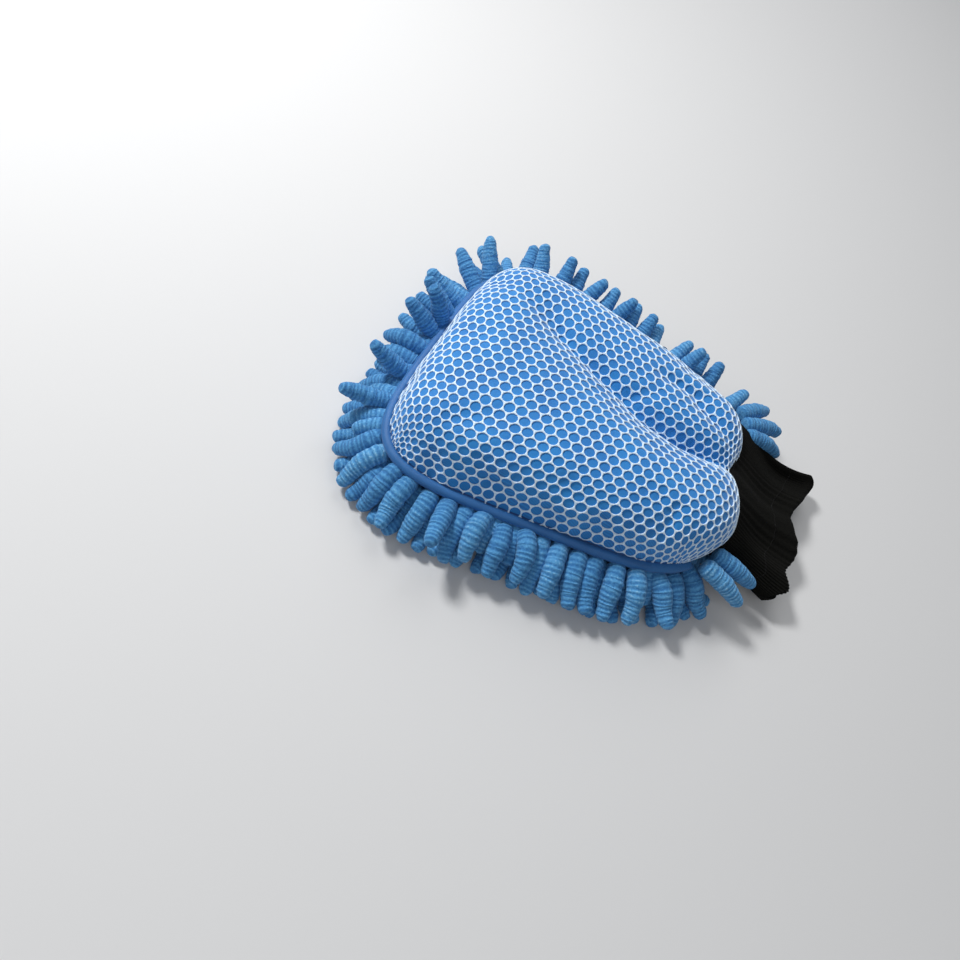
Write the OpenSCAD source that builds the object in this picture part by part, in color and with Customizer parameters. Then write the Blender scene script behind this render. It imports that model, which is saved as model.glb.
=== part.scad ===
// Car wash mitt: chenille noodles on the palm side, a scrubbing net on the back, a knitted cuff.
// It lies on its chenille face. +Y points to the fingertips, +X across the mitt, +Z up.
// The origin is under the middle of the whole mitt, on the surface it lies on.

/* [Body] */
// Width of the body at the fingertips
tip_width = 168; // [150:1:185]
// Width of the body at the cuff end
cuff_end_width = 124; // [112:1:140]
// Length of the body without the cuff
body_length = 182; // [160:1:200]
// Corner radius at the fingertips
tip_radius = 36; // [30:1:44]
// Corner radius at the cuff end
cuff_end_radius = 24; // [18:1:28]
// Height of the padded dome above the chenille backing
dome_height = 30; // [26:1:36]
// How far in from the edge the dome takes to round over
dome_roll = 20; // [16:1:24]

/* [Layers] */
// Thickness of the scrubbing net
net_thick = 0.8; // [0.5:0.1:1.2]
// Thickness of the cloth under the net
cloth_thick = 1.0; // [0.6:0.1:1.4]
// Thickness of the foam pad
foam_thick = 9; // [6:0.5:10]
// Thickness of each lining sheet
lining_thick = 0.8; // [0.5:0.1:1.2]
// Thickness of the cloth that the noodles are tufted through
backing_thick = 1.5; // [1:0.1:2]

/* [Edge] */
// Width of the rolled binding round the edge
binding_width = 5.5; // [4.5:0.1:6]
// Height of the rolled binding
binding_height = 5.8; // [5:0.1:6.4]
// How far the edge of the cover stands in from the outside of the body outline
cover_inset = 3; // [2.5:0.1:3.5]

/* [Chenille] */
// Diameter of one noodle
noodle_dia = 8.2; // [7.6:0.1:8.4]
// Length of one noodle from root to tip
noodle_len = 28.2; // [27:0.1:28.6]
// Distance between noodles along a row
noodle_pitch = 12.4; // [12.2:0.1:13.4]
// Distance between rows
row_pitch = 12.8; // [12.6:0.1:13.2]
// Number of rows across the palm
rows = 13; // [11:1:13]
// How far the noodles of the edge slope down from level, in degrees
edge_lean = 24; // [20:1:28]
// How much the tips under the palm are pressed flat by the mitt's weight
press = 0.4; // [0.3:0.1:0.6]
// Thickness of the noodle layer under the backing
pile_height = 22; // [21.6:0.1:23]

/* [Cuff] */
// Width of the cuff laid flat
cuff_width = 92; // [84:1:96]
// Height of the open cuff
cuff_height = 24; // [22:1:26]
// Length of the cuff beyond the body
cuff_length = 58; // [50:1:64]
// Thickness of one layer of the rib knit
knit_thick = 1.5; // [1.2:0.1:1.8]
// Depth of the hem folded into the mouth
hem_depth = 15; // [12:1:18]
// How far the cuff slopes down to its mouth, in degrees
cuff_slope = 10; // [6:1:12]
// Thickness of the sewing threads
thread = 0.8; // [0.6:0.1:1]

/* [Hidden] */
// Thickness of the slices that a dome is drawn over
slice = 0.3;
steps = 32;
noodle_r = noodle_dia / 2;
noodle_run = noodle_len - noodle_dia;

// Heights of the layers, from the floor up
backing_z = pile_height;
lining_z = backing_z + backing_thick;
dome_z = lining_z + lining_thick;
cloth_in = net_thick;
foam_in = cloth_in + cloth_thick;
lining_in = foam_in + foam_thick;
pocket_in = lining_in + lining_thick;
pocket_rise = dome_height - pocket_in;
binding_z = pile_height - 1.5;

// How the rows lean: each root hangs under the backing and its tip is pressed on the floor
root_z = pile_height - noodle_r;
row_lean = asin((root_z - noodle_r + press) / noodle_run);
row_inset = 16.5;
edge_root_z = binding_z - noodle_r - 0.4;
edge_inset = 2;
edge_reach = noodle_run * cos(edge_lean) + noodle_r - edge_inset;

// The body outline is four arcs joined by straight lines
cuff_drop = cuff_height / 2 * sin(cuff_slope);
cuff_run = cuff_length * cos(cuff_slope) + cuff_drop;
cuff_overlap = 9;
whole_length = edge_reach + body_length - cuff_overlap + cuff_run;
tip_y = whole_length / 2 - edge_reach;
cuff_end_y = tip_y - body_length;
tip_cx = tip_width / 2 - tip_radius;
tip_cy = tip_y - tip_radius;
end_cx = cuff_end_width / 2 - cuff_end_radius;
end_cy = cuff_end_y + cuff_end_radius;
side_dx = tip_cx - end_cx;
side_dy = tip_cy - end_cy;
side_len = sqrt(side_dx * side_dx + side_dy * side_dy
                - (tip_radius - cuff_end_radius) * (tip_radius - cuff_end_radius));
// Angle that the outward normal of the side makes with +X
side_angle = atan2(-(tip_radius - cuff_end_radius), side_len) - atan2(side_dx, side_dy);

// Place and normal at a distance along the right half of the outline, from the fingertips on
tip_arc = tip_radius * (90 - side_angle) * PI / 180;
end_arc = cuff_end_radius * (side_angle + 90) * PI / 180;
function edge_normal(s) =
    s < tip_cx ? 90
    : s < tip_cx + tip_arc ? 90 - (s - tip_cx) / tip_radius * 180 / PI
    : s < tip_cx + tip_arc + side_len ? side_angle
    : side_angle - (s - tip_cx - tip_arc - side_len) / cuff_end_radius * 180 / PI;
function edge_point(s, inset) =
    let (a = edge_normal(s), n = [cos(a), sin(a)])
    s < tip_cx ? [s, tip_y - inset]
    : s < tip_cx + tip_arc ? [tip_cx, tip_cy] + (tip_radius - inset) * n
    : s < tip_cx + tip_arc + side_len
        ? [tip_cx, tip_cy] + (tip_radius - inset) * n
          + (s - tip_cx - tip_arc) * [sin(a), -cos(a)]
    : [end_cx, end_cy] + (cuff_end_radius - inset) * n;

// Half width of the outline at a place along the mitt
function half_width(y) =
    y > tip_cy + tip_radius * sin(side_angle)
        ? tip_cx + sqrt(max(0, tip_radius * tip_radius - (y - tip_cy) * (y - tip_cy)))
    : y < end_cy + cuff_end_radius * sin(side_angle)
        ? end_cx + sqrt(max(0, cuff_end_radius * cuff_end_radius - (y - end_cy) * (y - end_cy)))
    : tip_cx + tip_radius * cos(side_angle)
        + (tip_cy + tip_radius * sin(side_angle) - y) * tan(side_angle);

// The cuff's own line: it starts inside the body's edge and slopes to its mouth
cuff_start_y = cuff_end_y + cuff_overlap;
cuff_start_z = dome_z - 3 + cuff_height / 2;
cuff_gap = 0.5;
cuff_end_gap = 0.3;
hand_way_depth = 40;
hand_way_gap = 2;
hand_way_floor = 0.6;
hand_way_roof = 1.5;
side_seam_start = 6;
stitch_out = 1.2;
stitch_in = 0.4;

// The outline drawn in by an inset: past the least corner radius, the corners' centres move in
least_radius = 2;
module corner(cx, cy, radius, inset, inward) {
    r = max(least_radius, radius - inset);
    extra = max(0, inset - radius + least_radius);
    translate([cx - sign(cx) * extra, cy + inward * extra]) circle(r = r, $fn = 48);
}

module outline(inset) {
    hull() for (side = [-1, 1]) {
        corner(side * tip_cx, tip_cy, tip_radius, inset, -1);
        corner(side * end_cx, end_cy, cuff_end_radius, inset, 1);
    }
}

module sheet(inset, z, thick) {
    translate([0, 0, z]) linear_extrude(thick) outline(inset);
}

// A closed dome on the outline, drawn in by a depth from the outside of the cover
module dome(depth, base = 0) {
    rise = dome_height - depth + base - slice;
    hull() for (a = [0 : 15 : 90])
        sheet(cover_inset + depth + dome_roll * (1 - cos(a)), dome_z - base + rise * sin(a), slice);
}

module dome_layer(depth, thick) {
    difference() {
        dome(depth);
        dome(depth + thick, slice * 2);
        cuff_space();
    }
}

module stadium(w, h) {
    square([w - h, h], center = true);
    for (side = [-1, 1]) translate([side * (w - h) / 2, 0]) circle(d = h, $fn = 48);
}

// A length of the cuff's section, measured from where the cuff starts
module cuff_run_of(from, to, grow = 0) {
    translate([0, cuff_start_y, cuff_start_z])
        rotate([90 + cuff_slope, 0, 0])
            translate([0, 0, from])
                linear_extrude(to - from) stadium(cuff_width + 2 * grow, cuff_height + 2 * grow);
}

module cuff_tube(from, to, out, thick) {
    difference() {
        cuff_run_of(from, to, out);
        cuff_run_of(from - 1, to + 1, out - thick);
    }
}

// The room for the cuff in the body, and the way for the hand from the cuff into the pocket
module cuff_space() {
    room_len = 2 * cuff_overlap + 1;
    room_z = backing_z - 5;
    room_top = cuff_start_z + cuff_height / 2 + cuff_gap;
    translate([-cuff_width / 2 - cuff_gap, cuff_start_y + cuff_end_gap - room_len, room_z])
        cube([cuff_width + 2 * cuff_gap, room_len, room_top - room_z]);
    way_width = cuff_width - 2 * (knit_thick + hand_way_gap);
    translate([-way_width / 2, cuff_start_y - 1, dome_z + hand_way_floor])
        cube([way_width, hand_way_depth, pocket_rise - hand_way_floor - hand_way_roof]);
}

// One noodle: its root end, how it lies, and how steeply it leans down to its tip
module noodle(at, z, heading, lean) {
    translate([at[0], at[1], z]) rotate([0, 90 + lean, heading]) {
        cylinder(r = noodle_r, h = noodle_run, $fn = steps);
        sphere(r = noodle_r, $fn = steps);
        translate([0, 0, noodle_run]) sphere(r = noodle_r, $fn = steps);
    }
}

// The noodles lean away from the middle of the palm
palm_y = (tip_y + cuff_end_y) / 2;
function row_y(i) = palm_y + (i - (rows + 1) / 2) * row_pitch;
function away(p) = atan2((p[1] - palm_y) * tip_width / body_length + 0.01, p[0]);

module chenille_row(i) {
    y = row_y(i);
    reach = half_width(y) - row_inset;
    shift = i % 2 == 0 ? 0.5 : 0;
    count = floor(reach / noodle_pitch - shift);
    xs = [for (k = [-count - 2 * shift : 1 : count]) (k + shift) * noodle_pitch];
    color("royalblue") difference() {
        union() {
            for (x = xs) noodle([x, y], root_z, away([x, y]), row_lean);
            translate([xs[0], y - thread, backing_z - thread * 2])
                cube([xs[len(xs) - 1] - xs[0], thread * 2, thread * 2]);
        }
        translate([0, y, -5]) cube([tip_width, 80, 10], center = true);
    }
}

// Noodles along the edge seam, from one distance to another along half of the outline
edge_count = floor((tip_cx + tip_arc + side_len + end_arc * 0.62) / noodle_pitch);
tips_count = 5;
module chenille_edge(first, last) {
    for (k = [first : last]) {
        s = k * noodle_pitch;
        noodle(edge_point(s, edge_inset), edge_root_z, edge_normal(s), edge_lean);
    }
}

module scrub_net() { color("white") dome_layer(0, net_thick); }
module scrub_cloth() { color("dodgerblue") dome_layer(cloth_in, cloth_thick); }
module foam_pad() { color("lemonchiffon") dome_layer(foam_in, foam_thick); }
module lining_top() { color("lightsteelblue") dome_layer(lining_in, lining_thick); }

module lining_bottom() {
    color("lightsteelblue") difference() {
        sheet(cover_inset, lining_z, lining_thick);
        cuff_space();
    }
}

module chenille_backing() {
    color("mediumblue") difference() {
        sheet(cover_inset, backing_z, backing_thick);
        cuff_space();
    }
}

module edge_ring(out, inset, z, thick) {
    difference() {
        sheet(out, z, thick);
        sheet(inset, z - 1, thick + 2);
        translate([0, cuff_end_y, z]) cube([cuff_width + 6, 30, 20], center = true);
    }
}

module edge_binding() {
    round_off = binding_height / 4;
    out = cover_inset - binding_width;
    color("navy") {
        edge_ring(out, cover_inset, binding_z + round_off, binding_height - 2 * round_off);
        edge_ring(out + round_off, cover_inset, binding_z, round_off);
        edge_ring(out + round_off, cover_inset, binding_z + binding_height - round_off, round_off);
    }
}

module edge_stitch() {
    color("navy")
        edge_ring(cover_inset - stitch_out, cover_inset - stitch_in,
                  binding_z + binding_height, thread / 2);
}

module cuff_knit() { color("black") cuff_tube(0, cuff_length, 0, knit_thick); }

module cuff_hem_fold() {
    color("dimgray") cuff_tube(cuff_length - hem_depth, cuff_length, -knit_thick, knit_thick);
}

module cuff_side_seam() {
    color("gray") translate([0, cuff_start_y, cuff_start_z])
        rotate([90 + cuff_slope, 0, 0])
            translate([-cuff_width / 2 + knit_thick, -knit_thick, side_seam_start])
                cube([thread * 2, knit_thick * 2, cuff_length - hem_depth - side_seam_start]);
}

module cuff_hem_stitch() {
    at = cuff_length - hem_depth;
    color("gray") cuff_tube(at + 1, at + 1 + thread, thread / 2, thread / 2);
}

module cuff_join_stitch() {
    join_at = cuff_overlap + 2;
    color("navy") cuff_tube(join_at, join_at + thread, thread / 2, thread / 2);
}

module chenille_edge_left() {
    color("cornflowerblue") mirror([1, 0, 0]) chenille_edge(tips_count, edge_count);
}
module chenille_edge_right() {
    color("cornflowerblue") chenille_edge(tips_count, edge_count);
}
module chenille_edge_tips() {
    color("cornflowerblue") {
        chenille_edge(0, tips_count - 1);
        mirror([1, 0, 0]) chenille_edge(1, tips_count - 1);
    }
}

scrub_net();
scrub_cloth();
foam_pad();
lining_top();
lining_bottom();
chenille_backing();
edge_binding();
edge_stitch();
cuff_knit();
cuff_hem_fold();
cuff_side_seam();
cuff_hem_stitch();
cuff_join_stitch();
chenille_row(1);  // chenille_row_01
chenille_row(2);  // chenille_row_02
chenille_row(3);  // chenille_row_03
chenille_row(4);  // chenille_row_04
chenille_row(5);  // chenille_row_05
chenille_row(6);  // chenille_row_06
chenille_row(7);  // chenille_row_07
chenille_row(8);  // chenille_row_08
chenille_row(9);  // chenille_row_09
chenille_row(10);  // chenille_row_10
chenille_row(11);  // chenille_row_11
chenille_row(12);  // chenille_row_12
chenille_row(13);  // chenille_row_13
chenille_edge_left();
chenille_edge_right();
chenille_edge_tips();
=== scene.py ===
"""A car wash mitt: padded net face up, chenille noodles below and all round, ribbed knit cuff."""
import math

import bmesh
import bpy
import numpy as np
from mathutils import Matrix, Vector
from mathutils.bvhtree import BVHTree


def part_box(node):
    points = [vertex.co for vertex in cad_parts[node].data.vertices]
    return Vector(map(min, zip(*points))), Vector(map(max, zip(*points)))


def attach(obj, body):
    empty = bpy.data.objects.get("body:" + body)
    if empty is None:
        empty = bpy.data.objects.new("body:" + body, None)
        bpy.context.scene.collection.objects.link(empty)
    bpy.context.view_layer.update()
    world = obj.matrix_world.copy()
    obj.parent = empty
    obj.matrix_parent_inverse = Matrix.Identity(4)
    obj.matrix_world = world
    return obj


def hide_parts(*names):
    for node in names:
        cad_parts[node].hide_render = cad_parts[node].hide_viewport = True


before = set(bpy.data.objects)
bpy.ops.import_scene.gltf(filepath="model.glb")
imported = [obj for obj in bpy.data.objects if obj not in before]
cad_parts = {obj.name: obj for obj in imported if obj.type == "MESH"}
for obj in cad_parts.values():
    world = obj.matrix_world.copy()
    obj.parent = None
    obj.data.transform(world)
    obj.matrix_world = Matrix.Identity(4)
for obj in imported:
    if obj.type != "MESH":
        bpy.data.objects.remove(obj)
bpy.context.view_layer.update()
MM = 0.001
RNG = np.random.default_rng(11)

# ---------------------------------------------------------------- sizes, from the frame
NET_LOW, NET_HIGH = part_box("scrub_net")
BACKING_LOW, BACKING_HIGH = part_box("chenille_backing")
BINDING_LOW, BINDING_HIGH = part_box("edge_binding")
CUFF_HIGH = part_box("cuff_knit")[1]
LINING_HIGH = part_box("lining_bottom")[1]

SEAM_Z = NET_LOW.z                      # where the net face meets the edge seam
DOME_H = NET_HIGH.z - SEAM_Z            # height of the padded face over the seam
TIP_Y = NET_HIGH.y                      # fingertip edge of the cover
COVER_LEN = 176 * MM                    # the cover, from the fingertips to the cuff seam
MID_Y = TIP_Y - COVER_LEN / 2
HALF_LEN = COVER_LEN / 2
TIP_HALF = NET_HIGH.x                   # widest half width, near the fingertips
CUFF_END_HALF = 56 * MM                 # half width where the body meets the cuff
ROLL = 21 * MM                          # how far in the padded face takes to turn level
SQUARENESS = 4.4                        # how square the rounded corners of the body are
FOAM_THICK = 7 * MM
FLOOR_Z = 0.0


# ---------------------------------------------------------------- small helpers
def linear(hex_colour):
    """sRGB hex to the linear colour that the shaders take."""
    out = []
    for k in (1, 3, 5):
        c = int(hex_colour[k:k + 2], 16) / 255
        out.append(c / 12.92 if c <= 0.04045 else ((c + 0.055) / 1.055) ** 2.4)
    return (*out, 1.0)


def node(tree, kind, settings=None, **inputs):
    """Adds a shader node. settings are its own properties; inputs are values or links, by name."""
    n = tree.nodes.new("ShaderNode" + kind)
    for key, value in (settings or {}).items():
        setattr(n, key, value)
    for key, value in inputs.items():
        name = key.replace("_", " ")
        socket = n.inputs[int(key[1:])] if key[0] == "i" and key[1:].isdigit() else n.inputs[name]
        if isinstance(value, bpy.types.NodeSocket):
            tree.links.new(value, socket)
        else:
            socket.default_value = value
    return n


def finish_ramp(n, *stops):
    """Sets a colour ramp's stops, each (position, hex colour)."""
    ramp = n.color_ramp
    while len(ramp.elements) < len(stops):
        ramp.elements.new(0.5)
    for element, (at, colour) in zip(ramp.elements, stops):
        element.position = at
        element.color = linear(colour)
    return n.outputs[0]


def material(name):
    """A new material with its principled shader; returns (material, tree, shader)."""
    mat = bpy.data.materials.new(name)
    mat.use_nodes = True
    tree = mat.node_tree
    tree.nodes.clear()
    shader = node(tree, "BsdfPrincipled")
    out = node(tree, "OutputMaterial")
    tree.links.new(shader.outputs[0], out.inputs[0])
    return mat, tree, shader


def mesh_object(name, bm, mat=None):
    """A smooth-shaded object in the scene made from a bmesh, which is freed."""
    mesh = bpy.data.meshes.new(name)
    bm.to_mesh(mesh)
    bm.free()
    mesh.polygons.foreach_set("use_smooth", [True] * len(mesh.polygons))
    obj = bpy.data.objects.new(name, mesh)
    bpy.context.scene.collection.objects.link(obj)
    if mat:
        mesh.materials.append(mat)
    return obj


def modifier(obj, kind, **settings):
    """Adds a modifier with its settings."""
    m = obj.modifiers.new(kind.lower(), kind)
    for key, value in settings.items():
        setattr(m, key, value)
    return m


def subdivide(obj, levels=1):
    """Adds a subdivision surface with equal view and render levels."""
    modifier(obj, "SUBSURF", levels=levels, render_levels=levels)


def points(mesh, what="co"):
    """The places of a mesh's vertices, or their normals, as rows of x, y, z."""
    values = np.zeros(len(mesh.vertices) * 3, np.float32)
    mesh.vertices.foreach_get(what, values)
    return values.reshape(-1, 3).astype(float)


def set_points(mesh, co):
    """Moves a mesh's vertices to the given places."""
    mesh.vertices.foreach_set("co", np.asarray(co, np.float32).ravel())
    mesh.update()


def smooth_step(x):
    """0 below 0, 1 above 1 and an even S curve between."""
    x = np.clip(x, 0, 1)
    return x * x * (3 - 2 * x)


# ---------------------------------------------------------------- shape of the body
def rounded(u, v):
    """Maps the square -1..1 to a rounded square with the body's corners."""
    m = np.maximum(abs(u), abs(v))
    norm = (abs(u) ** SQUARENESS + abs(v) ** SQUARENESS) ** (1 / SQUARENESS)
    k = np.where(norm > 1e-9, m / np.maximum(norm, 1e-9), 1.0)
    return u * k, v * k


def half_width(sy):
    """The body narrows from the fingertips to the cuff; sy runs from -1 at the cuff to 1."""
    mean = (TIP_HALF * 1.02 + CUFF_END_HALF) / 2 + 1 * MM
    return mean + (TIP_HALF * 1.02 - CUFF_END_HALF) / 1.86 * sy


def plan(u, v, grow=0.0):
    """Place in plan of a point of the square, on a body grown outwards by a distance."""
    sx, sy = rounded(u, v)
    x = sx * (half_width(sy) + grow)
    y = MID_Y + sy * (HALF_LEN + grow)
    return x, y


ARC = math.pi / 2 * math.sqrt((ROLL ** 2 + DOME_H ** 2) / 2)   # cloth that goes over the edge
SPARE = ARC - ROLL                                              # what that adds all round


def over_edge(t, half):
    """From -1..1 on the flat cloth to -1..1 in plan, and the share of the dome's height."""
    reach = abs(t) * (half + SPARE)
    left = half + SPARE - reach
    angle = np.clip(left / ARC, 0, 1) * math.pi / 2
    level = np.where(left >= ARC, reach, half - ROLL * (1 - np.cos(angle)))
    return np.sign(t) * level / half, np.sin(angle)


# The valley that runs from the fingertips to the cuff, where the padding folds
VALLEY = [(45, 96, 1.0, 12), (34, 68, 3.0, 10), (23, 44, 6.5, 8), (13, 12, 9.0, 7),
          (5, -14, 11.0, 6.5), (3, -34, 12.5, 6.5), (5, -52, 12.0, 7), (9, -72, 7.0, 8)]
SIDE_VALLEY = [(33, -4, 0.5, 7), (34, -22, 5.0, 6.5), (28, -44, 6.0, 6.5), (20, -62, 5.0, 7)]


def valley_depth(x, y, route):
    """Depth of a valley at points in plan; its route gives x, y, depth and width in mm."""
    route = np.array(route, float) * MM
    best = np.full(x.shape, 1e9)
    depth = np.zeros(x.shape)
    for (ax, ay, ad, aw), (bx, by, bd, bw) in zip(route, route[1:]):
        t = ((x - ax) * (bx - ax) + (y - ay) * (by - ay)) / ((bx - ax) ** 2 + (by - ay) ** 2)
        t = np.clip(t, 0, 1)
        d = np.hypot(x - ax - t * (bx - ax), y - ay - t * (by - ay))
        w = aw + t * (bw - aw)
        here = (ad + t * (bd - ad)) / (1 + (d / w) ** 2) ** 1.6
        nearer = d < best
        best = np.where(nearer, d, best)
        depth = np.where(nearer, here, depth)
    return depth


def cuff_lift(x):
    """How high the cover's seam climbs over the cuff."""
    w = 50 * MM
    return 10 * MM * np.sqrt(np.clip(1 - (x / w) ** 2, 0, 1))


def cover_shape(u, v):
    """The padded face: place of each point of the flat cloth, before the padding swells it."""
    pu, hx = over_edge(u, (TIP_HALF + CUFF_END_HALF) / 2)
    pv, hy = over_edge(v, HALF_LEN)
    x, y = plan(pu, pv)
    lift = np.where(v < 0, cuff_lift(x) / DOME_H, 0)
    hy = lift + (1 - lift) * hy
    height = hx ** 0.9 * hy ** 0.9
    crown = 0.93 - 0.06 * (u ** 2 + v ** 2)
    z = SEAM_Z + DOME_H * height * crown
    z -= valley_depth(x, y, VALLEY) * height
    z -= valley_depth(x, y, SIDE_VALLEY) * height
    near_cuff = smooth_step((-0.45 - v) / 0.55) * np.clip(1 - (x / (54 * MM)) ** 2, 0, 1)
    lobe = 8 * MM * np.exp(-((x + 22 * MM) / (24 * MM)) ** 2)
    notch = 7 * MM * np.exp(-((x - 9 * MM) / (9 * MM)) ** 2)
    y += near_cuff * (notch - lobe)
    return np.stack([x, y, z], -1)


def cover_flat(u, v):
    """Where the same point lies on the flat cloth, which sets the net's cells."""
    x, y = plan(u, v, SPARE)
    route = np.array(VALLEY)[::-1] * MM
    valley_x = np.interp(y, route[:, 1], route[:, 0])
    gather = 9 * MM * smooth_step((TIP_Y - 25 * MM - y) / (1.3 * HALF_LEN))
    x = x + gather * np.tanh((x - valley_x) / (7 * MM))
    return x, y


def grid(nu, nv):
    """A square mesh from -1 to 1, as bmesh, with its u and v."""
    bm = bmesh.new()
    bmesh.ops.create_grid(bm, x_segments=nu, y_segments=nv, size=1)
    co = np.array([v.co for v in bm.verts])
    return bm, co[:, 0], co[:, 1]


def move_verts(bm, co):
    """Moves a bmesh's vertices to the given places."""
    for vert, place in zip(bm.verts, co):
        vert.co = place


def swell(obj, u, v, frames=24):
    """Cloth simulation: the padding presses the cover out; the seams and the valley hold it."""
    held = np.maximum(abs(u), abs(v)) > 0.999
    start = points(obj.data)
    deep = valley_depth(start[:, 0], start[:, 1], VALLEY)
    crease = (deep > 11 * MM) & (start[:, 1] < MID_Y)
    group = obj.vertex_groups.new(name="seam")
    group.add([int(i) for i in np.nonzero(held)[0]], 1.0, "REPLACE")
    group.add([int(i) for i in np.nonzero(crease & ~held)[0]], 0.75, "REPLACE")
    cloth = modifier(obj, "CLOTH")
    s = cloth.settings
    s.quality = 7
    s.mass = 0.3
    s.tension_stiffness = 18
    s.compression_stiffness = 18
    s.shear_stiffness = 9
    s.bending_stiffness = 2.5
    s.tension_damping = 8
    s.compression_damping = 8
    s.vertex_group_mass = "seam"
    s.use_pressure = True
    s.uniform_pressure_force = 3.2
    s.shrink_min = -0.008
    s.effector_weights.gravity = 0
    cloth.point_cache.frame_start = 1
    cloth.point_cache.frame_end = frames
    scene = bpy.context.scene
    for f in range(1, frames + 1):
        scene.frame_set(f)
    result = obj.evaluated_get(bpy.context.evaluated_depsgraph_get()).to_mesh()
    co = points(result)
    obj.modifiers.remove(cloth)
    scene.frame_set(1)
    move = co - start
    size = np.linalg.norm(move, axis=1, keepdims=True)
    cap = 5 * MM
    return start + move * np.minimum(1, cap / np.maximum(size, 1e-9))


def even_out(co, u, v, times=40):
    """Evens out the plan of a grid of points inside its border, and keeps their heights."""
    i = np.rint((u + 1) / 2 * (len(np.unique(u.round(5))) - 1)).astype(int)
    j = np.rint((v + 1) / 2 * (len(np.unique(v.round(5))) - 1)).astype(int)
    board = np.zeros((i.max() + 1, j.max() + 1, 2))
    board[i, j] = np.asarray(co)[:, :2]
    for _ in range(times):
        inner = (board[:-2, 1:-1] + board[2:, 1:-1] + board[1:-1, :-2] + board[1:-1, 2:]) / 4
        board[1:-1, 1:-1] = inner
    out = np.array(co, float)
    out[:, :2] = board[i, j]
    return out


def settle_cover():
    """The face that the net, cloth, foam and lining all follow: (mesh object, u, v)."""
    bm, u, v = grid(92, 100)
    move_verts(bm, even_out(cover_shape(u, v), u, v))
    obj = mesh_object("cover_form", bm)
    set_points(obj.data, swell(obj, u, v))
    return obj, u, v


def layer(form, name, depth, thick, mat, levels=1):
    """A sheet that follows the face at a depth, with a thickness."""
    mesh = form.data.copy()
    mesh.name = name
    set_points(mesh, points(mesh) - points(mesh, "normal") * depth)
    mesh.materials.clear()
    mesh.materials.append(mat)
    obj = bpy.data.objects.new(name, mesh)
    bpy.context.scene.collection.objects.link(obj)
    modifier(obj, "SOLIDIFY", thickness=thick, offset=-1, use_even_offset=False)
    if levels:
        subdivide(obj, levels)
    return obj


# ---------------------------------------------------------------- net
CELL = 5.9 * MM
STRAND = 0.40 * MM
NET_THICK = 0.62 * MM
NET_TURN = math.radians(5.6)            # the rows of cells run almost along the mitt


def flat_honeycomb(low, high):
    """A sheet of hexagons over a rectangle, with rows turned by NET_TURN, as bmesh."""
    bm = bmesh.new()
    side = CELL / math.sqrt(3)
    bmesh.ops.create_circle(bm, cap_ends=True, segments=6, radius=side)
    pattern = bm.faces[:]
    centre = (low + high) / 2
    reach = (high - low).length / 2
    n = int(reach / CELL) + 1
    turn = Matrix.Rotation(math.pi / 2 + NET_TURN, 3, "Z")
    for i in range(-n, n + 1):
        for j in range(-n, n + 1):
            at = Vector(((i + j / 2) * CELL, j * CELL * math.sqrt(3) / 2, 0))
            at.rotate(turn)
            at += centre
            if (i, j) != (0, 0) and low.x < at.x < high.x and low.y < at.y < high.y:
                copy = bmesh.ops.duplicate(bm, geom=pattern)["geom"]
                verts = [e for e in copy if isinstance(e, bmesh.types.BMVert)]
                bmesh.ops.rotate(bm, verts=verts, cent=(0, 0, 0), matrix=turn)
                bmesh.ops.translate(bm, verts=verts, vec=at)
    bmesh.ops.delete(bm, geom=pattern, context="FACES")
    bmesh.ops.remove_doubles(bm, verts=bm.verts[:], dist=0.2 * MM)
    return bm


def make_net(form, u, v, mat):
    """The knitted net: hexagonal cells of round strands, laid on the settled face."""
    fx, fy = even_out(np.stack(cover_flat(u, v), -1), u, v).T
    flat_co = np.stack([fx, fy, np.zeros_like(fx)], -1)
    mesh = form.data
    mesh.calc_loop_triangles()
    tris = [tuple(t.vertices) for t in mesh.loop_triangles]
    flat_tree = BVHTree.FromPolygons([Vector(c) for c in flat_co], tris)
    low = Vector((fx.min(), fy.min(), 0))
    high = Vector((fx.max(), fy.max(), 0))
    bm = flat_honeycomb(low, high)
    outside = []
    for face in bm.faces:
        centre = face.calc_center_median()
        near = flat_tree.find_nearest(centre)
        if (near[0] - centre).length > 0.1 * MM:
            outside.append(face)
    bmesh.ops.delete(bm, geom=outside, context="FACES")
    cells = bm.faces[:]
    ridge = set(bm.verts)
    bmesh.ops.inset_individual(bm, faces=cells, thickness=STRAND / 2, depth=0)
    bmesh.ops.delete(bm, geom=cells, context="FACES_ONLY")
    for vert in bm.verts:
        vert.co.z = NET_THICK if vert in ridge else NET_THICK * 0.55
    top = bm.faces[:]
    lower = bmesh.ops.extrude_face_region(bm, geom=top, use_keep_orig=True)["geom"]
    for vert in (e for e in lower if isinstance(e, bmesh.types.BMVert)):
        vert.co.z = -0.1 * MM
    co = points(mesh)
    normals = points(mesh, "normal")
    for vert in bm.verts:
        flat = Vector((vert.co.x, vert.co.y, 0))
        spot, _, index, _ = flat_tree.find_nearest(flat)
        a, b, c = tris[index]
        weights = triangle_weights(spot, flat_co[a], flat_co[b], flat_co[c])
        place = weights @ co[[a, b, c]]
        normal = weights @ normals[[a, b, c]]
        vert.co = Vector(place + normal / np.linalg.norm(normal) * vert.co.z)
    bmesh.ops.recalc_face_normals(bm, faces=bm.faces[:])
    net = mesh_object("scrub_net_mesh", bm, mat)
    subdivide(net)
    return net


def triangle_weights(p, a, b, c):
    """How much each corner of a flat triangle counts at p."""
    m = np.array([[a[0], b[0], c[0]], [a[1], b[1], c[1]], [1, 1, 1]])
    try:
        w = np.linalg.solve(m, [p[0], p[1], 1])
    except np.linalg.LinAlgError:
        w = np.full(3, 1 / 3)
    return np.clip(w, 0, 1) / np.clip(w, 0, 1).sum()


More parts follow.
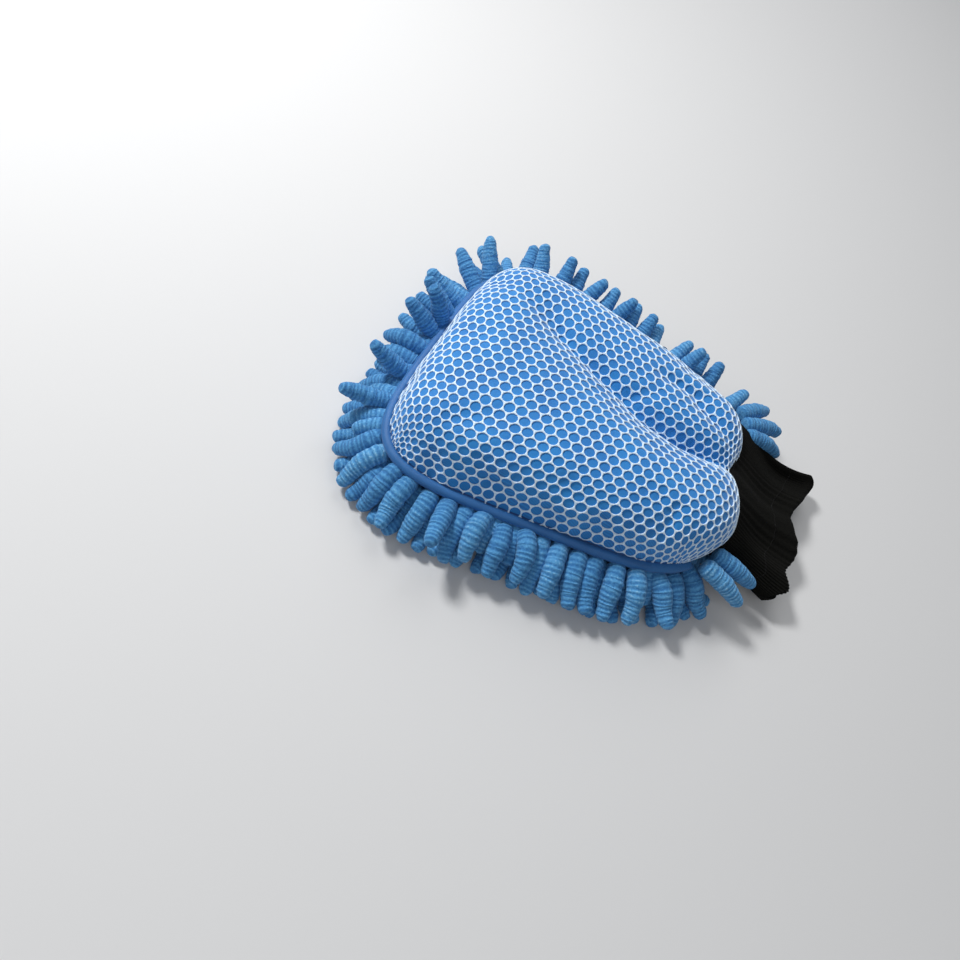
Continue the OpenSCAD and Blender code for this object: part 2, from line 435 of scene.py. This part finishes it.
# ---------------------------------------------------------------- tubes and edges
def tube(name, centres, sides, radius, mat):
    """A closed tube along a line: a grid rolled up round it."""
    centres = np.asarray(centres, float)
    n = len(centres)
    along = np.gradient(centres, axis=0)
    along /= np.linalg.norm(along, axis=1, keepdims=True)
    up = np.array([0, 0, 1.0])
    side = np.cross(along, up)
    side /= np.maximum(np.linalg.norm(side, axis=1, keepdims=True), 1e-9)
    over = np.cross(side, along)
    bm, gx, gy = grid(n - 1, sides)
    i = np.rint((gx + 1) / 2 * (n - 1)).astype(int)
    angle = (gy + 1) * math.pi
    co = (centres[i] + side[i] * (radius * np.cos(angle))[:, None]
          + over[i] * (radius * np.sin(angle))[:, None])
    move_verts(bm, co)
    bmesh.ops.remove_doubles(bm, verts=bm.verts[:], dist=1e-6)
    bmesh.ops.holes_fill(bm, edges=bm.edges[:], sides=0)
    bmesh.ops.recalc_face_normals(bm, faces=bm.faces[:])
    return mesh_object(name, bm, mat)


def seam_route(grow, z, count, cuff_gap):
    """Points along the edge seam, from one side of the cuff round the fingertips to the other."""
    t = np.linspace(0, 1, 4000)
    half = np.stack([np.where(t < 0.5, 1.0, 2 - 2 * t), np.where(t < 0.5, 4 * t - 1, 1.0)], -1)
    bottom = np.stack([np.linspace(0, 1, 1500), np.full(1500, -1.0)], -1)
    half = np.concatenate([bottom, half])
    x, y = plan(half[:, 0], half[:, 1], grow)
    keep = ~((x < cuff_gap) & (y < MID_Y))
    x, y = x[keep], y[keep]
    x, y = np.r_[x, -x[::-1]], np.r_[y, y[::-1]]
    distance = np.r_[0, np.cumsum(np.hypot(np.diff(x), np.diff(y)))]
    at = np.linspace(0, distance[-1], count)
    return np.stack([np.interp(at, distance, x), np.interp(at, distance, y), np.full(count, z)], -1)


# ---------------------------------------------------------------- chenille noodles
NOODLE_R = 5.1 * MM
NOODLE_LEN = 31 * MM
JOINTS = 7                              # points along a noodle's middle line
RIDGES = 15                             # rings of pile along a noodle
RING_STEPS = RIDGES * 2                 # one ring of points on each ridge and one in each groove
SIDES = 7
ROW_PITCH = 12.4 * MM                   # between noodles along a row
RING_COUNT = 50                         # noodles in each of the rings round the edge


def noodle_blank():
    """One straight noodle on +Z, as bmesh: a ridged profile spun round, closed at both ends."""
    bm = bmesh.new()
    profile = []
    for k in range(RING_STEPS + 1):
        t = k / RING_STEPS
        root = min(1, 0.78 + t * 2.2)
        tip = math.sqrt(max(0, 1 - max(0, (t - 0.86) / 0.14) ** 2.2))
        taper = 1 - 0.32 * smooth_step((t - 0.45) / 0.55)
        ridge = 1.0 + (0.048 if k % 2 else -0.048)
        radius = NOODLE_R * 1.12 * root * tip * taper * ridge
        profile.append(bm.verts.new((radius if 0 < k < RING_STEPS else 0, 0, t * NOODLE_LEN)))
    edges = [bm.edges.new(pair) for pair in zip(profile, profile[1:])]
    bmesh.ops.spin(bm, geom=profile + edges, cent=(0, 0, 0), axis=(0, 0, 1), steps=SIDES,
                   angle=2 * math.pi, use_merge=True)
    bmesh.ops.remove_doubles(bm, verts=bm.verts[:], dist=1e-6)
    bmesh.ops.recalc_face_normals(bm, faces=bm.faces[:])
    return bm


def push_apart(flat, owner, apart):
    """Moves points of different noodles away from each other, in place, where they are too close."""
    gap = flat[:, None] - flat[None]
    d2 = (gap ** 2).sum(-1)
    d2[owner[:, None] == owner[None]] = 1
    a, b = np.nonzero(np.triu(d2 < apart ** 2, 1))
    d = np.sqrt(d2[a, b])[:, None] + 1e-9
    push = gap[a, b] / d * (apart - d) * 0.5
    move = np.zeros_like(flat)
    count = np.ones(len(flat))
    np.add.at(move, a, push)
    np.add.at(move, b, -push)
    np.add.at(count, a, 0.35)
    np.add.at(count, b, 0.35)
    flat += move / count[:, None]


def settle_noodles(roots, heading, pitch, ceiling, weight):
    """Lets the noodles flop: each is a chain that bends, rests on the floor and on its fellows.
    ceiling is the height that each can't rise above, and weight how much it sags."""
    n = len(roots)
    link = (NOODLE_LEN - NOODLE_R) / (JOINTS - 1)
    out = np.stack([np.cos(heading) * np.cos(pitch), np.sin(heading) * np.cos(pitch),
                    np.sin(pitch)], -1)
    chain = roots[:, None] + out[:, None] * (np.arange(JOINTS) * link)[None, :, None]
    first = chain[:, 1].copy()
    owner = np.repeat(np.arange(n), JOINTS)
    apart = 2 * NOODLE_R * 0.90          # the pile gives a little where two noodles touch
    curl = RNG.normal(0, 1, (n, 1, 3)) * np.array([1, 1, 0.5]) * 0.10 * MM
    passes = 170
    for step in range(passes):
        # Weight and each noodle's own curl, then room from its fellows
        chain[:, 2:, 2] -= 0.28 * MM * weight[:, None]
        chain[:, 3:] += curl * (1 - step / passes)
        flat = chain.reshape(-1, 3)
        push_apart(flat, owner, apart)
        chain = flat.reshape(n, JOINTS, 3)
        # Stiffness, the floor, the body above, and the sewn root
        straight = 2 * chain[:, 1:-1] - chain[:, :-2]
        chain[:, 2:] += (straight - chain[:, 2:]) * 0.16
        chain[:, :, 2] = np.maximum(chain[:, :, 2], FLOOR_Z + NOODLE_R * 0.97)
        chain[:, 1:, 2] = np.minimum(chain[:, 1:, 2], ceiling[:, None])
        chain[:, 0] = roots
        chain[:, 1] += (first - chain[:, 1]) * 0.35
        # The noodle keeps its length
        for k in range(1, JOINTS):
            d = chain[:, k] - chain[:, k - 1]
            chain[:, k] = chain[:, k - 1] + d / np.linalg.norm(d, axis=1, keepdims=True) * link
    return chain


def bend_noodles(name, chains, blank, mat):
    """Copies of the straight noodle, each bent along its chain, as one object."""
    base = np.array([v.co for v in blank.verts])
    bm = bmesh.new()
    along = bm.verts.layers.float.new("along")
    tint = bm.verts.layers.float.new("tint")
    mesh = bpy.data.meshes.new("noodle_blank")
    blank.to_mesh(mesh)
    ring = np.rint(base[:, 2] / NOODLE_LEN * RING_STEPS).astype(int)
    free = ((ring > 1) & (ring < RING_STEPS)).astype(float)
    for chain in chains:
        # Each ring of pile leans, slips and swells a little by itself
        uneven = base.copy()
        lean = RNG.normal(0, 0.09, (RING_STEPS + 1, 2))[ring]
        shift = RNG.normal(0, 0.20 * MM, RING_STEPS + 1)[ring]
        uneven[:, 2] += (shift + (lean * base[:, :2]).sum(-1)) * free
        uneven[:, :2] *= (1 + RNG.normal(0, 0.03, RING_STEPS + 1))[ring, None]
        place = follow(chain, uneven)
        place += RNG.normal(0, 0.20 * MM, place.shape)
        first = len(bm.verts)
        bm.from_mesh(mesh)
        bm.verts.ensure_lookup_table()
        shade = RNG.uniform(0, 1)
        for k, co in enumerate(place):
            vert = bm.verts[first + k]
            vert.co = co
            vert[along] = base[k, 2]
            vert[tint] = shade
    bpy.data.meshes.remove(mesh)
    obj = mesh_object(name, bm, mat)
    subdivide(obj)
    return obj


def follow(chain, base):
    """Bends points that stand round +Z so that they stand round a chain."""
    fine = np.linspace(0, 1, 33)
    knots = np.linspace(0, 1, JOINTS)
    tip = chain[-1] + (chain[-1] - chain[-2]) / np.linalg.norm(chain[-1] - chain[-2]) * NOODLE_R
    knots = np.r_[knots * (NOODLE_LEN - NOODLE_R) / NOODLE_LEN, 1]
    line = np.stack([np.interp(fine, knots, np.r_[chain[:, k], tip[k]]) for k in range(3)], -1)
    for _ in range(6):
        line[1:-1] = line[1:-1] / 2 + (line[:-2] + line[2:]) / 4
    t = np.gradient(line, axis=0)
    t /= np.linalg.norm(t, axis=1, keepdims=True)
    side = np.cross(t[0], [0.3, 0.2, 0.93])
    side /= np.linalg.norm(side)
    sides = []
    for k in range(len(t)):
        side = side - t[k] * side.dot(t[k])
        side /= np.linalg.norm(side)
        sides.append(side)
    sides = np.array(sides)
    over = np.cross(t, sides)
    s = base[:, 2] / NOODLE_LEN
    pick = [np.stack([np.interp(s, fine, a[:, k]) for k in range(3)], -1) for a in (line, sides, over)]
    return pick[0] + pick[1] * base[:, :1] + pick[2] * base[:, 1:2]


def noodle_plan():
    """All noodles, as (node, root, heading, pitch, ceiling, weight): rows, edge rings, corners."""
    plans = []
    root_z = BACKING_LOW.z - 1.2 * MM
    for row in range(1, 14):
        name = f"chenille_row_{row:02d}"
        top = points(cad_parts[name].data)
        top = top[top[:, 2] > BACKING_LOW.z - 0.05 * MM]
        y = float(np.median(top[:, 1]))
        reach = float(abs(top[:, 0]).max())
        count = max(2, round(2 * reach / ROW_PITCH) + 1)
        for x in np.linspace(-reach, reach, count):
            away = math.atan2((y - MID_Y) * TIP_HALF / HALF_LEN + 0.3 * MM, x)
            edge = math.hypot(x / half_width((y - MID_Y) / HALF_LEN), (y - MID_Y) / HALF_LEN)
            plans.append((name, (x, y, root_z), away + RNG.normal(0, 0.25),
                          -0.95 + 0.45 * min(edge, 1) + RNG.normal(0, 0.08),
                          BACKING_LOW.z - NOODLE_R * 0.7, 1.0))
    # (inset of the roots, their height, shift along the edge, tilt, its spread, ceiling)
    rings = ((-1.0, 17.5, 0.0, -0.10, 0.20, 24), (1.0, 13.0, 0.5, -0.15, 0.20, 19),
             (10, 17.0, 0.25, -0.35, 0.15, 17))
    for inset, z, shift, tilt, spread, top in rings:
        route = seam_route(-inset * MM, z * MM, 600, 44 * MM)
        last = len(route) - 1
        for k in range(RING_COUNT):
            i = min(max(round((k + shift) / (RING_COUNT - 1) * last), 1), last - 1)
            along = route[i + 1] - route[i - 1]
            x, y = route[i, :2]
            out = math.atan2(-along[0], along[1])
            if math.cos(out) * x + math.sin(out) * (y - MID_Y) < 0:
                out += math.pi
            side = "right" if x > 0 else "left"
            name = "chenille_edge_tips" if y > TIP_Y - 16 * MM else "chenille_edge_" + side
            likely = (0.95 if x > 0 else 0.10) if inset < 5 else 0
            lively = RNG.uniform() < likely
            lift = RNG.uniform(0.35, 0.85) if lively else 0
            plans.append((name, tuple(route[i]), out + RNG.normal(0, 0.26),
                          RNG.normal(tilt, spread) + lift, 60 * MM if lively else top * MM,
                          0.0 if lively else 0.8))
    # Noodles at the two corners of the open end, lying over the cuff's sides: (x, y, direction)
    corners = ((-36, -75, -90), (-45, -71, -98), (49, -75, -65), (56, -72, -55), (61, -68, -42))
    for x, y, turn in corners:
        name = "chenille_edge_left" if x < 0 else "chenille_edge_right"
        plans.append((name, (x * MM, y * MM, 28 * MM), math.radians(turn), -0.14, 60 * MM, 0.15))
    return plans


# ---------------------------------------------------------------- cuff
CUFF_START_Y = CUFF_HIGH.y + 4 * MM     # inside the body, under the cover's edge
CUFF_START_Z = SEAM_Z + 4.5 * MM
CUFF_END_Z = 11 * MM
CUFF_HALF_W = 45 * MM                   # half width at the body; it draws in, then flares
CUFF_HALF_H = 11 * MM                   # half height at the body; it flattens to its mouth
MOUTH_Y = -117 * MM                     # the shallowest place of the cuff's mouth
HEM_START = 0.75                        # share of the cuff's length where the hem is sewn
RIB_COUNT = 84
SQUASH = 0.66                           # power that makes the tube's round section flat-sided
RIB_DEPTH = 0.42 * MM


def cuff_mouth_y(q):
    """How far the mouth reaches, across the cuff from -1 to 1: two lobes with a waist between."""
    far = 14 * smooth_step((q - 0.05) / 0.9)
    near = 10 * np.exp(-((q + 0.34) / 0.27) ** 2)
    corner = 8 * np.exp(-((q + 0.86) / 0.21) ** 2)
    rounded_off = np.where(q > 0, 2, 5) * smooth_step((abs(q) - 0.84) / 0.16)
    return MOUTH_Y - (far + near + corner - rounded_off) * MM


def cuff_place(angle, s, inward=0.0, ribs=1.0):
    """A point of the cuff: angle round it, s from 0 at the body to 1 at its mouth."""
    half_w = CUFF_HALF_W + (3 * s ** 3 - 4 * np.sin(np.clip(s, 0, 1) * math.pi)) * MM - inward
    half_h = CUFF_HALF_H + (2 * s ** 4 - 5 * smooth_step(s * 1.5)) * MM - inward
    c, d = np.cos(angle), np.sin(angle)
    q = np.sign(c) * abs(c) ** SQUASH
    ez = np.sign(d) * abs(d) ** SQUASH
    rib = np.cos(angle * RIB_COUNT) * RIB_DEPTH * ribs
    x = (8 + 6 * s) * MM + half_w * q + rib * q
    y = CUFF_START_Y + (cuff_mouth_y(q) - CUFF_START_Y) * s
    z = CUFF_START_Z + (CUFF_END_Z - CUFF_START_Z) * smooth_step(s * 0.9 + 0.1)
    z = z + (half_h + rib) * ez
    sag = 2.6 * np.sin(q * 5.2 + 0.9) + 1.6 * np.sin(q * 11 + 2.2 + s)
    z = z + sag * MM * smooth_step(s * 1.4) * (0.6 + 0.4 * d)
    floor = FLOOR_Z + 0.8 * MM
    z = np.where(z < floor, floor + (z - floor) * 0.08, z)
    return np.stack([x, y, z], -1)


def cuff_sheet(name, s0, s1, rings, inward, thick, mat):
    """A knitted tube: a grid rolled round the cuff's own shape, from s0 to s1 along it."""
    bm, gx, gy = grid(rings, RIB_COUNT * 4)
    s = s0 + (gx + 1) / 2 * (s1 - s0)
    angle = (gy + 1) * math.pi
    rim = np.clip((s - 0.965) / 0.035, 0, 1)
    inward = inward + 1.7 * MM * (1 - np.sqrt(1 - rim ** 2))
    move_verts(bm, cuff_place(angle, s, inward))
    bmesh.ops.remove_doubles(bm, verts=bm.verts[:], dist=1e-6)
    bmesh.ops.recalc_face_normals(bm, faces=bm.faces[:])
    obj = mesh_object(name, bm, mat)
    modifier(obj, "SOLIDIFY", thickness=thick, offset=-1, use_even_offset=False)
    return obj


# ---------------------------------------------------------------- materials
def chenille_pile():
    """Microfibre chenille: soft pile with fine fibre specks, a painted highlight on its ridges and
    painted shade between them.
    """
    mat, tree, shader = material("microfibre_chenille_pile")
    along = node(tree, "Attribute", {"attribute_name": "along"})
    tint = node(tree, "Attribute", {"attribute_name": "tint"})
    coord = node(tree, "TexCoord")
    fuzz = node(tree, "TexNoise", Vector=coord.outputs["Object"], Scale=900.0, Detail=3.0,
                Roughness=0.65)
    patch = node(tree, "TexNoise", Vector=coord.outputs["Object"], Scale=90.0, Detail=2.0)
    # Painted highlight and shade: along each noodle the colour is lighter on every ridge crest and
    # darker in every groove, wobbled by a coarse noise
    wave = node(tree, "Math", {"operation": "MULTIPLY"}, i0=along.outputs["Fac"],
                i1=2 * math.pi * RIDGES / NOODLE_LEN)
    wobble = node(tree, "Math", {"operation": "MULTIPLY_ADD"}, i0=patch.outputs[0], i1=3.0,
                  i2=wave.outputs[0])
    ridge = node(tree, "Math", {"operation": "COSINE"}, i0=wobble.outputs[0])
    # Painted highlight on the crests and painted shade in the grooves, added to the fibre specks below
    lift = node(tree, "Math", {"operation": "MULTIPLY_ADD"}, i0=ridge.outputs[0], i1=-0.15, i2=0.5)
    fuzz_and_ridge_highlight = node(tree, "Math", {"operation": "MULTIPLY_ADD"}, i0=fuzz.outputs[0], i1=0.85,
                   i2=lift.outputs[0])
    shade = node(tree, "Math", {"operation": "MULTIPLY_ADD"}, i0=tint.outputs["Fac"], i1=0.18,
                 i2=fuzz_and_ridge_highlight.outputs[0])
    low = node(tree, "Math", {"operation": "SUBTRACT"}, i0=shade.outputs[0], i1=0.42)
    ramp = node(tree, "ValToRGB", Fac=low.outputs[0])
    colour = finish_ramp(ramp, (0.0, "#1A4D7F"), (0.45, "#3579B4"), (0.8, "#5CA4D8"), (1.0, "#A0D0EE"))
    tree.links.new(colour, shader.inputs["Base Color"])
    bump = node(tree, "Bump", Strength=0.9, Distance=0.0009, Height=fuzz_and_ridge_highlight.outputs[0])
    tree.links.new(bump.outputs[0], shader.inputs["Normal"])
    shader.inputs["Roughness"].default_value = 0.88
    shader.inputs["Sheen Weight"].default_value = 0.28
    shader.inputs["Sheen Roughness"].default_value = 0.45
    shader.inputs["Sheen Tint"].default_value = linear("#A9D2F5")
    return mat


def woven(name, dark, light, pitch, roughness=0.7, sheen=0.25, strength=0.25):
    """Plain woven or fine knitted cloth, with threads a pitch apart."""
    mat, tree, shader = material(name)
    coord = node(tree, "TexCoord")
    warp = node(tree, "TexWave", {"bands_direction": "X"}, Vector=coord.outputs["Object"],
                Scale=0.314 / pitch, Distortion=0.6)
    weft = node(tree, "TexWave", {"bands_direction": "Y"}, Vector=coord.outputs["Object"],
                Scale=0.314 / pitch, Distortion=0.6)
    both = node(tree, "Math", {"operation": "MULTIPLY"}, i0=warp.outputs[1], i1=weft.outputs[1])
    cloud = node(tree, "TexNoise", Vector=coord.outputs["Object"], Scale=60.0, Detail=3.0)
    mix = node(tree, "Math", {"operation": "MULTIPLY_ADD"}, i0=cloud.outputs[0], i1=0.8,
               i2=both.outputs[0])
    ramp = node(tree, "ValToRGB", Fac=mix.outputs[0])
    tree.links.new(finish_ramp(ramp, (0.2, dark), (1.0, light)), shader.inputs["Base Color"])
    bump = node(tree, "Bump", Strength=strength, Distance=0.0003, Height=both.outputs[0])
    tree.links.new(bump.outputs[0], shader.inputs["Normal"])
    shader.inputs["Roughness"].default_value = roughness
    shader.inputs["Sheen Weight"].default_value = sheen
    return mat


def net_yarn():
    """White polyester yarn of the net: bright, slightly glossy twisted filaments."""
    mat, tree, shader = material("white_polyester_net_yarn")
    coord = node(tree, "TexCoord")
    fibre = node(tree, "TexNoise", Vector=coord.outputs["Object"], Scale=1600.0, Detail=2.0)
    ramp = node(tree, "ValToRGB", Fac=fibre.outputs[0])
    tree.links.new(finish_ramp(ramp, (0.3, "#BCE0FF"), (0.7, "#F0FAFF")), shader.inputs["Base Color"])
    bump = node(tree, "Bump", Strength=0.3, Distance=0.0002, Height=fibre.outputs[0])
    tree.links.new(bump.outputs[0], shader.inputs["Normal"])
    shader.inputs["Roughness"].default_value = 0.5
    shader.inputs["Sheen Weight"].default_value = 0.3
    return mat


def rib_knit():
    """Black elastic rib knit: matt yarn in small loops."""
    mat, tree, shader = material("black_rib_knit")
    coord = node(tree, "TexCoord")
    loops = node(tree, "TexVoronoi", Vector=coord.outputs["Object"], Scale=1100.0)
    ramp = node(tree, "ValToRGB", Fac=loops.outputs["Distance"])
    tree.links.new(finish_ramp(ramp, (0.0, "#12120E"), (0.9, "#060605")), shader.inputs["Base Color"])
    bump = node(tree, "Bump", Strength=0.6, Distance=0.0004, Height=loops.outputs["Distance"])
    tree.links.new(bump.outputs[0], shader.inputs["Normal"])
    shader.inputs["Roughness"].default_value = 0.95
    shader.inputs["Specular IOR Level"].default_value = 0.15
    return mat


# ---------------------------------------------------------------- setting
def make_camera():
    """Looks down from the left of the mitt, rolled so that the cuff points to the lower right."""
    camera = bpy.data.cameras.new("camera")
    obj = bpy.data.objects.new("camera", camera)
    bpy.context.scene.collection.objects.link(obj)
    camera.lens = 22.5
    camera.sensor_width = 36
    camera.clip_start = 0.01
    place = Vector((-0.2165, 0.043, 0.2737))
    ahead = Vector((0.5236, 0.0095, -0.8519)).normalized()
    level = ahead.cross(Vector((0, 0, 1))).normalized()
    roll = math.radians(28.35)
    right = (Matrix.Rotation(-roll, 3, ahead) @ level).normalized()
    up = right.cross(ahead)
    turn = Matrix((right, up, -ahead)).transposed().to_4x4()
    obj.matrix_world = Matrix.Translation(place) @ turn
    bpy.context.scene.camera = obj


def make_light(name, place, aim, size, power):
    """A white round soft light at a place, turned to what it is aimed at."""
    light = bpy.data.lights.new(name, "AREA")
    light.shape = "DISK"
    light.size = size
    light.energy = power
    obj = bpy.data.objects.new(name, light)
    bpy.context.scene.collection.objects.link(obj)
    obj.location = place
    obj.rotation_euler = (Vector(aim) - Vector(place)).to_track_quat("-Z", "Y").to_euler()


def make_setting():
    """Camera, pale floor, a dim sky that looks brighter than it shines, and three soft lights."""
    make_camera()
    bm = bmesh.new()
    bmesh.ops.create_grid(bm, x_segments=2, y_segments=2, size=3)
    mat, tree, shader = material("pale_grey_paper")
    shader.inputs["Base Color"].default_value = linear("#DCDCDC")
    shader.inputs["Roughness"].default_value = 0.9
    floor = mesh_object("floor", bm, mat)
    world = bpy.data.worlds.new("studio")
    world.use_nodes = True
    tree = world.node_tree
    sky = tree.nodes["Background"]
    sky.inputs[0].default_value = linear("#E8ECF2")
    seen = node(tree, "LightPath").outputs["Is Camera Ray"]
    strength = node(tree, "MapRange", Value=seen, To_Min=0.22, To_Max=0.72)
    tree.links.new(strength.outputs[0], sky.inputs[1])
    bpy.context.scene.world = world
    make_light("key", (0.20, 0.75, 0.80), (0, 0.05, 0), 0.22, 9)
    make_light("near_fill", (-0.8, -0.1, 0.9), (0, 0, 0), 0.9, 2.0)
    make_light("far_fill", (1.3, 0.3, 1.2), (0, 0, 0), 1.2, 10)
    bpy.context.scene.view_settings.view_transform = "Standard"


# ---------------------------------------------------------------- assembly
def place_piece(obj, slot, *nodes):
    """The piece rides on the only body and stands for the named solids."""
    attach(obj, "root")
    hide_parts(*nodes)


def flat_sheet(name, z, thick, mat):
    """A sheet under the hand, cut to the body's outline."""
    bm, u, v = grid(40, 44)
    x, y = plan(u, v)
    move_verts(bm, np.stack([x, y, np.full_like(x, z)], -1))
    obj = mesh_object(name, bm, mat)
    modifier(obj, "SOLIDIFY", thickness=thick, offset=-1)
    return obj


def make_face(lining_cloth):
    """The padded face from the outside in: net, cloth, foam and lining, all on one settled form."""
    form, u, v = settle_cover()

    net = make_net(form, u, v, net_yarn())
    place_piece(net, "net", "scrub_net")

    blue_cloth = woven("blue_microfibre_cloth", "#0B5FAE", "#1F92DE", 0.45 * MM)
    cloth = layer(form, "scrub_cloth_sheet", 0.1 * MM, 0.9 * MM, blue_cloth)
    place_piece(cloth, "scrub_cloth", "scrub_cloth")

    foam = woven("open_cell_foam", "#B9B29C", "#D9D2BC", 0.7 * MM, roughness=0.95)
    pad = layer(form, "foam_pad_body", 1.4 * MM, FOAM_THICK, foam, levels=0)
    place_piece(pad, "foam", "foam_pad")

    lining = layer(form, "lining_top_sheet", FOAM_THICK + 1.8 * MM, 0.7 * MM, lining_cloth, levels=0)
    place_piece(lining, "lining", "lining_top")
    bpy.data.objects.remove(form)


def make_palm(lining_cloth):
    """The two level sheets under the hand: its lining, and the backing that holds the noodles."""
    under = flat_sheet("lining_bottom_sheet", LINING_HIGH.z, 0.8 * MM, lining_cloth)
    place_piece(under, "lining", "lining_bottom")

    backing_cloth = woven("blue_knitted_backing", "#0B3673", "#1B5BA8", 0.6 * MM)
    backing = flat_sheet("chenille_backing_sheet", BACKING_HIGH.z, 1.5 * MM, backing_cloth)
    place_piece(backing, "backing", "chenille_backing")


def make_edge():
    """The rolled binding round the body, and the thread that sews it down."""
    satin = woven("blue_satin_binding", "#154F8C", "#2F7ABD", 0.3 * MM, roughness=0.5, sheen=0.15)
    route = seam_route(1.2 * MM, BINDING_LOW.z + 2.6 * MM, 320, 45 * MM)
    binding = tube("edge_binding_roll", route, 10, 2.9 * MM, satin)
    subdivide(binding)
    place_piece(binding, "binding", "edge_binding")

    blue_thread = woven("blue_polyester_thread", "#12346E", "#2B5CA6", 0.3 * MM)
    route = seam_route(-0.5 * MM, BINDING_HIGH.z - 0.6 * MM, 320, 47 * MM)
    stitch = tube("edge_stitch_thread", route, 6, 0.3 * MM, blue_thread)
    place_piece(stitch, "blue_thread", "edge_stitch")


def cuff_ring(name, s, inward, mat):
    """A thread sewn right round the cuff, s of the way to its mouth."""
    angle = np.linspace(0, 2 * math.pi, 240)
    ring = cuff_place(angle, np.full(len(angle), s), inward, 0.8)
    return tube(name, ring, 6, 0.25 * MM, mat)


def make_cuff():
    """The rib-knit tube, the hem turned into its mouth, and its three seams."""
    knit = rib_knit()
    cuff = cuff_sheet("cuff_knit_tube", 0, 1, 44, 0, 1.4 * MM, knit)
    place_piece(cuff, "rib_knit", "cuff_knit")
    hem = cuff_sheet("cuff_hem_inner", HEM_START + 0.01, 1.0, 12, 1.5 * MM, 1.3 * MM, knit)
    place_piece(hem, "rib_knit", "cuff_hem_fold")

    black_thread = woven("black_polyester_thread", "#030303", "#080807", 0.3 * MM, 1.0, 0.0)
    hem_thread = cuff_ring("cuff_hem_thread", HEM_START, 0.05 * MM, black_thread)
    place_piece(hem_thread, "black_thread", "cuff_hem_stitch")
    join_thread = cuff_ring("cuff_join_thread", 0.14, -0.05 * MM, black_thread)
    place_piece(join_thread, "black_thread", "cuff_join_stitch")
    s = np.linspace(0.1, HEM_START - 0.01, 60)
    seam = cuff_place(np.full(len(s), math.pi), s, 1.8 * MM, 0)
    side_thread = tube("cuff_side_thread", seam, 6, 0.5 * MM, black_thread)
    place_piece(side_thread, "black_thread", "cuff_side_seam")


def make_noodles():
    """All noodles settle together, and then each row or edge becomes one piece."""
    pile = chenille_pile()
    groups, *plans = zip(*noodle_plan())
    chains = settle_noodles(*(np.array(values) for values in plans))
    blank = noodle_blank()
    for name in sorted(set(groups)):
        mine = [chain for group, chain in zip(groups, chains) if group == name]
        row = bend_noodles(name + "_noodles", mine, blank, pile)
        place_piece(row, "chenille", name)
    blank.free()


def main():
    """The setting, and then every piece of the mitt."""
    make_setting()
    lining_cloth = woven("smooth_polyester_lining", "#3F6288", "#5C86B4", 0.35 * MM, roughness=0.5)
    make_face(lining_cloth)
    make_palm(lining_cloth)
    make_edge()
    make_cuff()
    make_noodles()


main()
